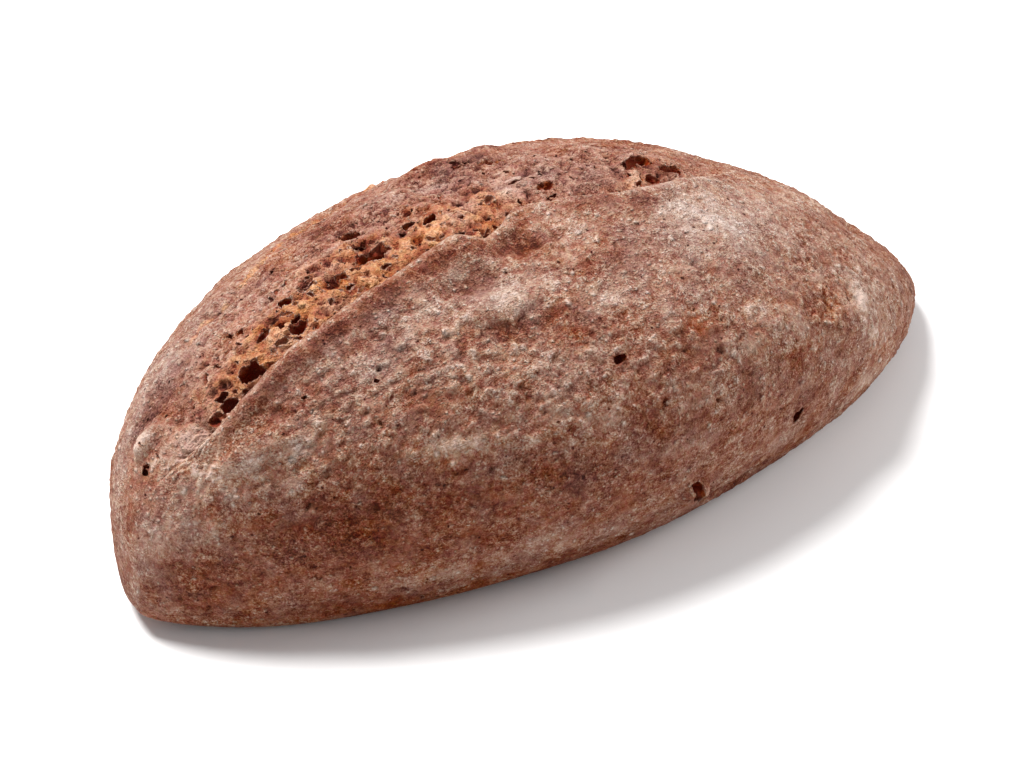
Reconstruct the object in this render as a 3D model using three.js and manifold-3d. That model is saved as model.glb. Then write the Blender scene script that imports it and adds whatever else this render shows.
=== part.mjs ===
// A hand-shaped rye loaf, baked free-standing on the oven floor, with one long slash along its crest.
// The slash has burst open: its near edge stands up as a thin ear of crust, and the torn crumb behind it is
// sunk, craggy and full of gas holes, up to the torn edge of the far crust.
//
// Frame: millimetres, +Z up, origin under the middle of the loaf on the surface it stands on.
// +X runs along the loaf, from the blunt end (-X) to the narrow end (+X). -Y is the near flank.

import * as THREE from "three";
import Module from "manifold-3d";
import { mergeVertices } from "three/addons/utils/BufferGeometryUtils.js";

// ---- Driving dimensions ----------------------------------------------------------------------------------

const LOAF_LENGTH = 250;
const LOAF_WIDTH = 125.4;
const LOAF_HEIGHT = 77.8;
const NOSE_HEIGHT = 7.2; // height of the very tip of either end
const WIDEST_AT = 0.453; // height of the widest point, as a share of the section's height
const BASE_WIDTH = 0.71; // width of the flat underside, as a share of the loaf's width
const BASE_LENGTH = 0.54; // length of the flat underside, as a share of the loaf's length
const BASE_LIFT_POWER = 3; // how suddenly the underside lifts towards the tips past that length
const END_LEAN = { blunt: 6.2, narrow: 9.2 }; // how far either end leans towards the near side
const EVEN_ENDS = [0.72, 0.98]; // from here to here, as shares of half the length, the two sides even out

// How the loaf narrows towards an end: (1 - |u|^power)^fall, with u from 0 in the middle to 1 at the tip.
const NEAR_TAPER = { blunt: [1.69, 0.78], narrow: [2, 0.713] };
const FAR_TAPER = { blunt: [1.94, 0.427], narrow: [2.07, 0.755] };
const TOP_TAPER = { blunt: [2.88, 0.419], narrow: [1.82, 0.849] };

const EAR_HEIGHT = 3.2; // how far the ear stands above the crust round it
const TROUGH_DEPTH = 4; // how far the crumb at the foot of the ear lies below it
const FAR_EDGE_STEP = 1.5; // how far the crumb lies below the far crust
const CRUST_BUMP_HEIGHT = 0.6; // of the crust's soft unevenness, up and down
const CRUST_BUMP_SPACING = 17;
const CRUMB_CRAG_HEIGHT = 1.5; // of the torn crumb's crags, up and down
const CRUMB_CRAG_SPACING = 9;

// A place on the crust is (x, g): x along the loaf in millimetres, and g in degrees round its girth, 0 at the
// widest point of the far side, 90 on the crest, 180 at the widest point of the near side, and -90 and 270 at
// the two edges of the flat underside.

// Lines along the loaf, as [x, value] at the places where they turn.
const EAR_LINE = [[-125, 112], [-103, 113.5], [-92, 108.5], [-70, 103.5], [-45, 100], [-34, 98.3],
  [-26, 100.5], [-19, 98], [-12, 94.5], [6, 98.5], [20, 101.7], [42, 98], [54, 93.5], [66, 87], [90, 90],
  [125, 90]];
const EAR_STRENGTH = [[-110, 0], [-98, 0.55], [-80, 1], [-36, 1], [-23, 0.6], [-10, 0.45], [18, 0.6],
  [44, 0.3], [62, 0]];
const BURST_STRENGTH = [[-120, 0], [-106, 0.5], [-86, 1], [-10, 1], [30, 0.8], [56, 0.5], [74, 0]];
const FAR_CRUST_EDGE = [[-122, 96], [-110, 62], [-90, 58], [-66, 52], [-30, 42], [0, 38], [30, 46], [56, 64],
  [76, 90]];

// The ear's section, from the crust over the lip and under it to the crumb: degrees from the ear line, then
// millimetres towards the far side, then the rise as a share of the ear's height or, below 0, the trough's.
const EAR_SECTION = [[10, 0, 0.12], [6, 0, 0.42], [3.2, 0.3, 0.8], [1.2, 0.8, 1], [0, 2.2, 0.72],
  [-0.8, 1.5, 0.2], [-1.6, 0.1, -0.5], [-3.2, -0.2, -1], [-6.5, 0, -0.82]];

// Bumps and dents of the crust, each [x, g, half length, half width, rise], in millimetres but for g.
const CRUST_SWELLINGS = [
  [-96, 128, 9, 5, 1.5], [-33, 119.5, 11, 4.6, 2.3], [-32, 100.5, 6, 5, 1.3], [-19, 104, 8, 4, -2],
  [-36, 109.5, 8, 4, -1.6], [33, 154, 14, 10, 1], [60, 159, 9, 7, 1.4], [84, 92, 11, 6, 0.6],
  [96, 104, 7, 5, -1.2], [-3, 55, 13, 7, 2], [30, 125, 16, 12, 0.8], [1, 206, 5.5, 5, 2.6],
  [-87, 238, 6, 5, 0.9], [-59, 248, 9, 6, 0.8], [22, 226, 14, 8, -1.6], [-112, 83, 4, 4.2, 2.4],
  [-107, 68, 5, 5, -1.2],
  [-62, 20, 14, 10, 1.4], [5, 12, 18, 9, -1.2], [58, 28, 12, 10, 1.5], [-20, -40, 12, 8, 1.6],
  [70, -30, 10, 8, -1.2], [92, 20, 10, 8, 1], [-95, 20, 9, 8, -1],
];

// Large gas holes, each [x, g, length, width, depth], first those in the torn crumb, then four in the crust.
const GAS_HOLES = [
  [-90, 95, 7, 5, 10], [-75, 92, 4.6, 3.8, 5], [-82, 86, 4.2, 3, 4], [-72, 80, 4.6, 2.8, 4],
  [-46, 70, 5, 4.6, 8], [-48, 84, 9, 4, 7], [-66, 81, 4.2, 3, 4], [-98, 101, 4.6, 3.2, 5],
  [-30, 83, 4.4, 3.4, 5], [4, 86, 4.8, 3.4, 5], [2, 66, 8, 4.5, 7], [36, 84, 8, 4.5, 7],
  [43, 88, 7.5, 4.5, 8], [-6, 62, 4, 2.8, 4], [-74, 56, 4, 2.8, 3],
  [-116, 91, 3, 2.6, 5], [-14, 144, 2.8, 2.6, 5], [1, 205, 4.6, 4.6, 6], [38, 192, 4.2, 3.8, 4],
];
const SMALL_HOLE_COUNT = 12;
const SMALL_HOLE_LENGTH = [3.6, 5.6];
const SMALL_HOLE_SEED = 7;

// ---- The smooth loaf -------------------------------------------------------------------------------------

const RAD = Math.PI / 180;
const mix = (a, b, t) => a + (b - a) * t;
const clamp = (v, low, high) => Math.min(high, Math.max(low, v));
function smoothstep(from, to, v) {
  const t = clamp((v - from) / (to - from), 0, 1);
  return t * t * (3 - 2 * t);
}

// The slope of a line at its turning place `i`, 0 at a peak, a dip or an end.
function slopeAt(line, i) {
  if (i === 0 || i === line.length - 1) return 0;
  const before = (line[i][1] - line[i - 1][1]) / (line[i][0] - line[i - 1][0]);
  const after = (line[i + 1][1] - line[i][1]) / (line[i + 1][0] - line[i][0]);
  return before * after > 0 ? (2 * before * after) / (before + after) : 0;
}

// The value of a line at x, a smooth curve through its turning places and level past its ends.
function along(line, x) {
  const i = line.findIndex(([turn]) => x <= turn);
  if (i === 0) return line[0][1];
  if (i < 0) return line[line.length - 1][1];
  const [[x0, y0], [x1, y1]] = [line[i - 1], line[i]];
  const span = x1 - x0;
  const t = (x - x0) / span;
  const bend = (1 - t) * slopeAt(line, i - 1) - t * slopeAt(line, i);
  return mix(y0, y1, smoothstep(0, 1, t)) + span * t * (1 - t) * bend;
}

function taper(u, ends) {
  const [power, fall] = u < 0 ? ends.blunt : ends.narrow;
  return Math.max(0, 1 - Math.abs(u) ** power) ** fall;
}

// The smooth loaf's point at (x, g). Past the underside's edges, g goes on to its middle, at -180 and 360.
function smoothPoint(x, g) {
  const u = x / (LOAF_LENGTH / 2);
  const far = g < 90;
  const [farHalf, nearHalf] = [FAR_TAPER, NEAR_TAPER].map((ends) => (LOAF_WIDTH / 2) * taper(u, ends));
  const even = smoothstep(...EVEN_ENDS, Math.abs(u));
  const halfWidth = mix(far ? farHalf : nearHalf, (farHalf + nearHalf) / 2, even);
  const middle = (even * (farHalf - nearHalf)) / 2 - (u < 0 ? END_LEAN.blunt : END_LEAN.narrow) * u * u;
  const top = mix(NOSE_HEIGHT, LOAF_HEIGHT, taper(u, TOP_TAPER));
  const lift = Math.max(0, (Math.abs(u) - BASE_LENGTH) / (1 - BASE_LENGTH));
  const bottom = NOSE_HEIGHT * (1 - Math.sqrt(1 - lift ** BASE_LIFT_POWER));
  const widest = mix(bottom, top, WIDEST_AT);
  const rise = far ? g : 180 - g; // 90 on the crest, 0 at the widest point, -90 at the underside's edge
  let out, z;
  if (rise >= 0) {
    out = Math.cos(rise * RAD);
    z = mix(widest, top, Math.sin(rise * RAD));
  } else if (rise >= -90) {
    out = mix(BASE_WIDTH, 1, Math.cos(rise * RAD));
    z = mix(widest, bottom, -Math.sin(rise * RAD));
  } else {
    out = BASE_WIDTH * (2 + rise / 90);
    z = bottom;
  }
  return new THREE.Vector3(x, (far ? 1 : -1) * halfWidth * out + middle, z);
}

// The smooth loaf's outward normal at (x, g), and its direction round the girth towards the far side.
function smoothFrame(x, g) {
  const reach = LOAF_LENGTH / 2 - 0.01;
  const alongLoaf = smoothPoint(clamp(x + 0.5, -reach, reach), g)
    .sub(smoothPoint(clamp(x - 0.5, -reach, reach), g)).normalize();
  const towardsFar = smoothPoint(x, g - 0.5).sub(smoothPoint(x, g + 0.5)).normalize();
  return { towardsFar, normal: alongLoaf.clone().cross(towardsFar).normalize() };
}

// ---- Relief ----------------------------------------------------------------------------------------------

// A fixed random number from 0 to 1 for each whole-number place.
function latticeValue(i, j, k) {
  const s = Math.sin(i * 127.1 + j * 311.7 + k * 74.7) * 43758.5453;
  return s - Math.floor(s);
}

// Smooth noise from -1 to 1 with bumps about `size` apart.
function bumps(p, size, shift) {
  const [x, y, z] = [p.x / size + shift, p.y / size, p.z / size];
  const [i, j, k] = [Math.floor(x), Math.floor(y), Math.floor(z)];
  const [a, b, c] = [smoothstep(0, 1, x - i), smoothstep(0, 1, y - j), smoothstep(0, 1, z - k)];
  const edge = (dj, dk) => mix(latticeValue(i, j + dj, k + dk), latticeValue(i + 1, j + dj, k + dk), a);
  return 2 * mix(mix(edge(0, 0), edge(1, 0), b), mix(edge(0, 1), edge(1, 1), b), c) - 1;
}

const MM_PER_DEGREE = 1.1; // round the girth at the loaf's crest, and less by its taper towards the ends

function swellings(x, g) {
  let rise = 0;
  for (const [cx, cg, halfLength, halfWidth, height] of CRUST_SWELLINGS) {
    const a = (x - cx) / halfLength;
    const b = ((g - cg) * MM_PER_DEGREE * taper(cx / (LOAF_LENGTH / 2), TOP_TAPER)) / halfWidth;
    rise += height * Math.exp(-((a * a + b * b) ** 2));
  }
  return rise;
}

// How far inside the torn crumb (x, g) is: 0 on the crust, 1 in the crumb.
function crumbShare(x, g) {
  const wander = 3 * bumps(new THREE.Vector3(x, g, 0), 11, 5);
  const farEdge = along(FAR_CRUST_EDGE, x) + wander;
  return smoothstep(farEdge - 1.5, farEdge + 1.5, g) * smoothstep(1, -1, g - along(EAR_LINE, x));
}

// The loaf's surface point at (x, g) with its relief, pushed by `section` where it is a line of the ear.
function surfacePoint(x, g, section) {
  const p = smoothPoint(x, g);
  const { towardsFar, normal } = smoothFrame(x, g);
  const burst = along(BURST_STRENGTH, x);
  const crumb = crumbShare(x, g) * burst;
  const clearOfBase = smoothstep(0, 7, p.z) * smoothstep(-89, -40, g) * smoothstep(269, 220, g);
  let rise = (CRUST_BUMP_HEIGHT * bumps(p, CRUST_BUMP_SPACING, 0) + swellings(x, g)) * clearOfBase;
  rise += crumb * (CRUMB_CRAG_HEIGHT * bumps(p, CRUMB_CRAG_SPACING, 3) - FAR_EDGE_STEP);
  if (section) {
    const [, sideways, share] = section;
    const ear = along(EAR_STRENGTH, x) * (1 + 0.25 * bumps(p, 14, 9));
    p.addScaledVector(towardsFar, sideways * ear);
    rise += share > 0 ? share * EAR_HEIGHT * ear : share * TROUGH_DEPTH * burst;
  } else if (g < along(EAR_LINE, x)) {
    rise -= 0.8 * TROUGH_DEPTH * burst * Math.exp(-(along(EAR_LINE, x) - 6.5 - g) / 10);
  }
  return p.addScaledVector(normal, rise);
}

// ---- The loaf's skin, as rings round the girth -----------------------------------------------------------

const RING_COUNT = 78;
const CROWDING_AT_ENDS = 0.62; // 0 spaces the rings evenly along X, 1 crowds them towards the tips
const BASE_LINES = 5; // across the flat underside
const LOWER_LINES = 5; // from the underside's edge to the widest point, on each side
const NEAR_LINES = 11; // from the near widest point to the ear
const CRUMB_LINES = 14; // from the ear to the far widest point

function ringPlaces(x) {
  const ear = along(EAR_LINE, x);
  const places = [];
  const spread = (from, to, count) => {
    for (let i = 0; i < count; i++) places.push({ g: mix(from, to, i / count) });
  };
  const [firstSection, lastSection] = [EAR_SECTION[0], EAR_SECTION[EAR_SECTION.length - 1]];
  spread(360, 270, Math.ceil(BASE_LINES / 2));
  spread(270, 180, LOWER_LINES);
  spread(180, ear + firstSection[0] + 2, NEAR_LINES);
  for (const section of EAR_SECTION) places.push({ g: ear + section[0], section });
  spread(ear + lastSection[0] - 3, 0, CRUMB_LINES);
  spread(0, -90, LOWER_LINES);
  spread(-90, -180, Math.ceil(BASE_LINES / 2));
  return places;
}

function ringX(i) {
  const t = (2 * i) / RING_COUNT - 1;
  return (LOAF_LENGTH / 2) * mix(t, Math.sin((t * Math.PI) / 2), CROWDING_AT_ENDS);
}

function loafSkin() {
  const positions = [];
  const triangles = [];
  const tip = (side, lean) => {
    positions.push(side * (LOAF_LENGTH / 2), -lean, NOSE_HEIGHT);
    return positions.length / 3 - 1;
  };
  const rings = [];
  for (let i = 1; i < RING_COUNT; i++) {
    const x = ringX(i);
    rings.push(ringPlaces(x).map(({ g, section }) => {
      positions.push(...surfacePoint(x, g, section).toArray());
      return positions.length / 3 - 1;
    }));
  }
  const [bluntTip, narrowTip] = [tip(-1, END_LEAN.blunt), tip(1, END_LEAN.narrow)];
  const lines = rings[0].length;
  for (let j = 0; j < lines; j++) {
    const next = (j + 1) % lines;
    triangles.push(bluntTip, rings[0][j], rings[0][next]);
    triangles.push(narrowTip, rings[rings.length - 1][next], rings[rings.length - 1][j]);
    for (let i = 0; i + 1 < rings.length; i++) {
      const [a, b, c, d] = [rings[i][j], rings[i][next], rings[i + 1][next], rings[i + 1][j]];
      triangles.push(a, c, b, a, d, c);
    }
  }
  return new THREE.BufferGeometry()
    .setAttribute("position", new THREE.Float32BufferAttribute(positions, 3))
    .setIndex(triangles);
}

// ---- Gas holes, cut out of the loaf ----------------------------------------------------------------------

// Random numbers from 0 to 1, the same on every run.
function seededRandom(seed) {
  let state = seed;
  return () => {
    state = (state * 48271) % 2147483647;
    return state / 2147483647;
  };
}

// Small holes scattered over the torn crumb, clear of the ear and of each other.
function smallHoles() {
  const random = seededRandom(SMALL_HOLE_SEED);
  const holes = [];
  while (holes.length < SMALL_HOLE_COUNT) {
    const x = mix(-110, 62, random());
    const g = mix(along(FAR_CRUST_EDGE, x) + 5, along(EAR_LINE, x) - 11, random());
    const length = mix(...SMALL_HOLE_LENGTH, random());
    const apart = ([ox, og, ol]) =>
      Math.hypot(x - ox, (g - og) * MM_PER_DEGREE) > (length + ol) / 2 + 2;
    if ([...GAS_HOLES, ...holes].every(apart)) holes.push([x, g, length, length * 0.7, length * 0.8]);
  }
  return holes;
}

function holeGeometry([x, g, length, width, depth]) {
  const { towardsFar, normal } = smoothFrame(x, g);
  const centre = surfacePoint(x, g).addScaledVector(normal, -0.12 * depth);
  const alongLoaf = towardsFar.clone().cross(normal);
  const blob = new THREE.IcosahedronGeometry(1, 1);
  const place = new THREE.Matrix4().makeBasis(
    alongLoaf.multiplyScalar(length / 2), towardsFar.multiplyScalar(width / 2),
    normal.clone().multiplyScalar(depth / 2)).setPosition(centre);
  blob.applyMatrix4(place);
  const points = blob.attributes.position;
  for (let i = 0; i < points.count; i++) {
    const p = new THREE.Vector3().fromBufferAttribute(points, i);
    p.lerp(centre, 0.25 * (0.5 + 0.5 * bumps(p, 2.5, 11)));
    points.setXYZ(i, p.x, p.y, p.z);
  }
  return blob;
}

const wasm = await Module();
wasm.setup();

function solidOf(geometry) {
  const bare = geometry.clone();
  bare.deleteAttribute("normal");
  bare.deleteAttribute("uv");
  const merged = mergeVertices(bare, 1e-4);
  return new wasm.Manifold(new wasm.Mesh({
    numProp: 3,
    vertProperties: merged.attributes.position.array,
    triVerts: new Uint32Array(merged.index.array),
  }));
}

function geometryOf(solid) {
  const { numVert, numProp, vertProperties, triVerts } = solid.getMesh();
  const positions = [];
  for (let i = 0; i < numVert; i++)
    positions.push(...vertProperties.subarray(i * numProp, i * numProp + 3));
  return new THREE.BufferGeometry()
    .setAttribute("position", new THREE.Float32BufferAttribute(positions, 3))
    .setIndex(new THREE.BufferAttribute(triVerts, 1));
}

function largestPiece(solid) {
  return solid.decompose().sort((a, b) => b.volume() - a.volume())[0];
}

// ---- The loaf --------------------------------------------------------------------------------------------

function ryeLoaf() {
  let solid = solidOf(loafSkin());
  for (const hole of [...GAS_HOLES, ...smallHoles()]) solid = solid.subtract(solidOf(holeGeometry(hole)));
  const geometry = geometryOf(largestPiece(solid));
  geometry.computeBoundingBox();
  const { min, max } = geometry.boundingBox;
  geometry.translate(-(min.x + max.x) / 2, -(min.y + max.y) / 2, -min.z);
  geometry.computeVertexNormals();
  const crust = new THREE.MeshStandardMaterial({ color: "#8f6250", roughness: 0.9, metalness: 0 });
  const loaf = new THREE.Mesh(geometry, crust);
  loaf.name = "rye_loaf";
  return loaf;
}

const bread = new THREE.Group();
bread.add(ryeLoaf());

export default bread;
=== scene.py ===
"""A hand-shaped rye loaf, baked free-standing on the oven floor, its long slash burst open on the crest.

The loaf is laid out in millimetres and turned into metres when its meshes are made. +X runs along it,
from the blunt end to the narrow one, -Y is the near flank and +Z is up. A place on the crust is (x, g):
g is in degrees round the girth, 0 at the widest point of the far side, 90 on the crest, 180 at the
widest point of the near side, and -90 and 270 at the two edges of the flat underside.
"""

import math

import bpy
import numpy as np
from mathutils import Matrix, Vector


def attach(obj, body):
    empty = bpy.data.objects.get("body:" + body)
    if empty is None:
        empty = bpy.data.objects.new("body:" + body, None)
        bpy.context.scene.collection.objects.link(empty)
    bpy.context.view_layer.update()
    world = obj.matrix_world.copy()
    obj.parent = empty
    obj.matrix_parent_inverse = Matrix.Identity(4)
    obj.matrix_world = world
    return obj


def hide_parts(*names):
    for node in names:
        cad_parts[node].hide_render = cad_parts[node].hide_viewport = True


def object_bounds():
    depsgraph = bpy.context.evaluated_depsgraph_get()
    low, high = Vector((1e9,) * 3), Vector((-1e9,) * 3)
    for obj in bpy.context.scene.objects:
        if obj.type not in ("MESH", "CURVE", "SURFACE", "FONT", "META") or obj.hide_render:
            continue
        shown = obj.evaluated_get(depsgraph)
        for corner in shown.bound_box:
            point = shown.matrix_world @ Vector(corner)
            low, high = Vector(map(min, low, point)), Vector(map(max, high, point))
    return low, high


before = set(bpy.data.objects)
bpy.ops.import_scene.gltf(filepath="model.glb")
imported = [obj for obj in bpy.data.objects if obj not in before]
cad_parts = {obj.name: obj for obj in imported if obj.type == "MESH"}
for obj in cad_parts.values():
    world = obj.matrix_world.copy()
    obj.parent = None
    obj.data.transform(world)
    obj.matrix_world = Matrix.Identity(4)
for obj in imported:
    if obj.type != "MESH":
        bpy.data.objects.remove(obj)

cad_low, cad_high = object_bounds()

# ---- The crust ---------------------------------------------------------------------------------------
# The whole body: rye dough rolled by hand into an oval with a blunt and a narrow end, dusted with rye
# flour and baked on the oven floor. Its skin set hard and brown, and lifted into an ear along the slash.

MM = 0.001
LENGTH = round((cad_high[0] - cad_low[0]) / MM)
WIDTH = 125.4  # of the smooth form, before its swellings
HEIGHT = 77.8  # of the smooth form, before its swellings and its ear
NOSE_HEIGHT = 7.2  # of the very tip of either end
WIDEST_AT = 0.453  # height of the widest point, as a share of the section's height
BASE_WIDTH = 0.71  # of the flat underside, as a share of the loaf's width
BASE_LENGTH = 0.54  # of the flat underside, as a share of the loaf's length
BASE_LIFT_POWER = 3
END_LEAN = (6.2, 9.2)  # how far the blunt and the narrow end lean towards the near side
EVEN_ENDS = (0.72, 0.98)  # from here to here, as shares of half the length, the two sides' widths even out

# How the loaf narrows towards its blunt and its narrow end: (1 - |u|^power)^fall, with u 1 at the tip.
NEAR_TAPER = ((1.69, 0.78), (2, 0.713))
FAR_TAPER = ((1.94, 0.427), (2.07, 0.755))
TOP_TAPER = ((2.88, 0.419), (1.82, 0.849))

# The slash, along the crest: where its near edge, the ear, runs, how far it stands up, how far the dough
# behind it tore open, and where the far crust begins. Lines hold (x, value) where they turn.
EAR_LINE = [(-125, 112), (-103, 113.5), (-92, 108.5), (-70, 103.5), (-45, 100), (-34, 98.3), (-26, 100.5),
            (-19, 98), (-12, 94.5), (6, 98.5), (20, 101.7), (42, 98), (54, 93.5), (66, 87), (90, 90),
            (125, 90)]
EAR_STRENGTH = [(-110, 0), (-98, 0.55), (-80, 1), (-36, 1), (-23, 0.6), (-10, 0.45), (18, 0.6), (44, 0.3),
                (62, 0)]
BURST_STRENGTH = [(-120, 0), (-106, 0.5), (-86, 1), (-10, 1), (30, 0.8), (56, 0.5), (74, 0)]
FAR_CRUST_EDGE = [(-122, 96), (-110, 62), (-90, 58), (-66, 52), (-30, 42), (0, 38), (30, 46), (56, 64),
                  (76, 90)]
EAR_HEIGHT = 3.2
TROUGH_DEPTH = 4  # of the crumb at the foot of the ear
TROUGH_REACH = 10  # degrees, over which the trough rises again beyond the ear's foot
FAR_EDGE_STEP = 1.5  # how far the crumb lies below the far crust
CRAG_HEIGHT = 1.5  # of the crumb's broad crags
BED_DEPTH = 11  # of the hollow in the crust's mesh that the torn crumb is set into

# The ear's section from the crust over its lip and down to the crumb: degrees from the ear line,
# millimetres towards the far side, and the rise as a share of the ear's height or, below 0, of the
# trough's depth.
EAR_SECTION = [(10, 0, 0.12), (6, 0, 0.42), (3.2, 0.3, 0.8), (1.2, 0.8, 1), (0, 2.2, 0.72),
               (-0.8, 1.5, 0.2), (-1.6, 0.1, -0.5), (-3.2, -0.2, -1), (-6.5, 0, -0.82)]
EAR_FOOT = EAR_SECTION[-1][0]
EAR_RAGGEDNESS = [(0.2, 14, 9), (0.14, 4.5, 2), (0.1, 1.9, 4)]  # share of its height, spacing, shift

# Blisters and dents: (x, g, half length, half width, rise).
SWELLINGS = [
    (-96, 128, 9, 5, 1.5), (-33, 119.5, 11, 4.6, 2.3), (-32, 100.5, 6, 5, 1.3), (-19, 104, 8, 4, -2),
    (-36, 109.5, 8, 4, -1.6), (33, 154, 14, 10, 1), (60, 159, 9, 7, 1.4), (84, 92, 11, 6, 0.6),
    (96, 104, 7, 5, -1.2), (-3, 55, 13, 7, 2), (30, 125, 16, 12, 0.8), (1, 206, 5.5, 5, 3.1),
    (-87, 238, 6, 5, 0.9), (-59, 248, 9, 6, 0.8), (22, 226, 14, 8, -1.6), (-112.5, 83, 3.4, 3.5, 2.2),
    (-107, 68, 5, 5, -1.2),
    # on the far side
    (-62, 20, 14, 10, 1.4), (5, 12, 18, 9, -1.2), (58, 28, 12, 10, 1.5), (-20, -40, 12, 8, 1.6),
    (70, -30, 10, 8, -1.2), (92, 20, 10, 8, 1), (-95, 20, 9, 8, -1),
]
WAVE_HEIGHT = 0.6  # of the low waves all over the crust
MM_PER_DEGREE = 1.1  # round the girth at the crest, and less by its taper towards the ends

# Soft spots, (x, g, half length, half width, strength). First where the skin wrinkled and flaked as it
# stretched, and where it stayed tight and smooth.
WRINKLED = [
    (-45, 128, 34, 26, 0.8), (-88, 140, 14, 12, 0.6), (-15, 112, 14, 12, 0.5), (62, 150, 22, 18, 0.6),
    (5, 150, 22, 16, 0.5), (-70, 112, 20, 8, 0.4),
]
SMOOTH = [(-33, 119, 11, 4.6, 0.6), (-96, 128, 8, 5, 0.6), (-31, 101, 6, 5, 0.6), (-70, 117, 8, 6, 0.4)]
# Where rye flour still lies.
FLOURED = [
    # on the blunt end
    (-122, 110, 5, 10, 0.4), (-121, 70, 6, 10, 0.4), (-118, 138, 8, 9, 0.3), (-116, 150, 8, 6, 0.3),
    (-114, 98, 2.2, 1.6, 1.6), (-113, 83, 2.6, 2.6, 2.3), (-107, 107, 6, 6, 1.4), (-104, 44, 12, 12, 0.5),
    (-103, 130, 9, 7, 0.2),
    # along the ear, and on the crest past it
    (-93, 138, 10, 6, 0.6), (-51, 114, 6, 4, 0.4), (-33, 120, 10, 4, 0.3), (-32, 101, 7, 5, 0.4),
    (-8, 102, 10, 6, 0.4), (-8, 129, 8, 5, 0.2), (31, 124, 8, 6, 0.2), (33, 113, 14, 13, 0.6),
    (50, 106, 20, 12, 0.4), (80, 96, 14, 10, 0.5),
    # on the near flank, and low down on it
    (-58, 154, 8, 4.5, 1.3), (-23, 158, 8, 6, 0.5), (5, 162, 7, 5, 0.6), (24, 143, 7, 4, 0.7),
    (25, 154, 7, 3, 0.4), (30, 146, 6, 4, 0.8), (38, 152, 6, 5, 0.6), (-42, 210, 34, 12, 0.9),
    (3, 209, 4, 4, 0.6), (18, 203, 8, 6, 0.7), (35, 198, 7, 7, 0.7), (42, 205, 9, 8, 0.5),
    # on the narrow end
    (71, 151, 5, 4, 1.8), (72, 205, 14, 10, 1.1), (80, 180, 14, 14, 0.9), (92, 145, 14, 14, 0.5),
    # on the torn crumb
    (-84, 66, 16, 12, 0.3), (-57, 87, 1.5, 0.6, 1.8),
]
# Where the crust is browner than elsewhere, and below 0 less brown, and where painted shade darkens it, as
# marked below.
BROWNED_AND_SHADED = [
    # at the foot of the ear, with painted shade in its dents
    (-91, 121, 6, 4, 0.5), (-84, 122, 9, 5, 0.5), (-62, 115, 10, 6, 0.9), (-36, 110, 8, 4, 1.5),
    (-17, 105, 7, 3.2, 2.6), (2, 119, 10, 5, 0.9), (20, 106, 3, 2, 1.2),
    # round the long blister, with painted shade under it
    (-70, 137, 26, 7, 0.4), (-36, 126.5, 13, 3.4, 1.8), (-36, 143, 12, 7, 0.5), (-23, 127, 6, 4, 0.6),
    (-18, 134, 9, 3, 1.2),
    # on the near flank, and low down on it, partly painted shade that darkens it towards the bottom
    (-86, 172, 24, 20, 0.9), (-33, 173, 16, 9, 0.6), (-10, 160, 12, 8, 0.2), (6, 148, 8, 6, 0.5),
    (14, 164, 13, 8, 0.3), (38, 165, 7, 5, 0.3), (53, 151, 8, 6, 0.6), (-116, 196, 10, 12, 0.4),
    (-66, 192, 20, 14, 0.4), (-85, 226, 30, 10, 0.5), (-60, 250, 60, 8, -0.25),
    # on the torn crumb, partly painted shade beside its holes
    (-108, 68, 5, 5, 1.5), (-47, 62, 14, 7, 0.7), (-16, 72, 9, 4, 0.9), (0, 62, 14, 6, 0.9),
    (20, 90, 20, 6, 0.4), (40, 88, 8, 4, 0.8),
]
# Where it is redder than elsewhere, and below 0 greyer.
REDDENED = [
    # on the blunt end
    (-121, 136, 8, 10, -1.2), (-110, 60, 14, 12, -1.2), (-95, 60, 20, 14, -1.2),
    # along the ear, and on the crest past it
    (-70, 120, 12, 8, -0.6), (-52, 113, 16, 8, -1.2), (-52, 109, 3, 3, 1.0), (-34, 124, 8, 2.5, 0.6),
    (-33, 117, 14, 8, -0.8), (-19, 104, 8, 4, 0.2), (-8, 126, 12, 8, -0.8), (34, 117, 24, 15, -2.2),
    # on the near flank, and low down on it
    (-84, 196, 34, 30, 0.6), (-62, 182, 28, 22, 0.2), (11, 142, 6, 4, 1.0), (14, 155, 14, 8, 0.4),
    (38, 165, 7, 5, 0.8), (54, 151, 9, 7, 1.1), (-60, 242, 60, 14, 2.0), (50, 215, 20, 8, 1.0),
    # on the torn crumb
    (-15, 66, 32, 8, -1.4), (12, 82, 22, 9, -2.0),
]


def mix(a, b, share):
    """From a, at share 0, to b, at share 1."""
    return a + (b - a) * share


def smoothstep(start, end, value):
    """From 0 at start to 1 at end, and level past them. The end may lie below the start."""
    t = np.clip((value - start) / (end - start), 0, 1)
    return t * t * (3 - 2 * t)


def along(line, x):
    """The line's value at x, a smooth curve through its turning places and level past its ends."""
    turns, values = np.array(line, float).T
    slopes = np.diff(values) / np.diff(turns)
    before, after = slopes[:-1], slopes[1:]
    both = np.where(before + after == 0, 1, before + after)
    inner = np.where(before * after > 0, 2 * before * after / both, 0)
    tangents = np.concatenate([[0], inner, [0]])
    x = np.clip(x, turns[0], turns[-1])
    i = np.clip(np.searchsorted(turns, x) - 1, 0, len(turns) - 2)
    span = turns[i + 1] - turns[i]
    t = (x - turns[i]) / span
    bend = (1 - t) * tangents[i] - t * tangents[i + 1]
    return mix(values[i], values[i + 1], smoothstep(0, 1, t)) + span * t * (1 - t) * bend


def taper(u, ends):
    """How wide or high the loaf is, as a share of the most, from u = -1 at the blunt end to 1."""
    (blunt_power, blunt_fall), (narrow_power, narrow_fall) = ends
    power = np.where(u < 0, blunt_power, narrow_power)
    fall = np.where(u < 0, blunt_fall, narrow_fall)
    return np.clip(1 - np.abs(u) ** power, 0, 1) ** fall


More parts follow.
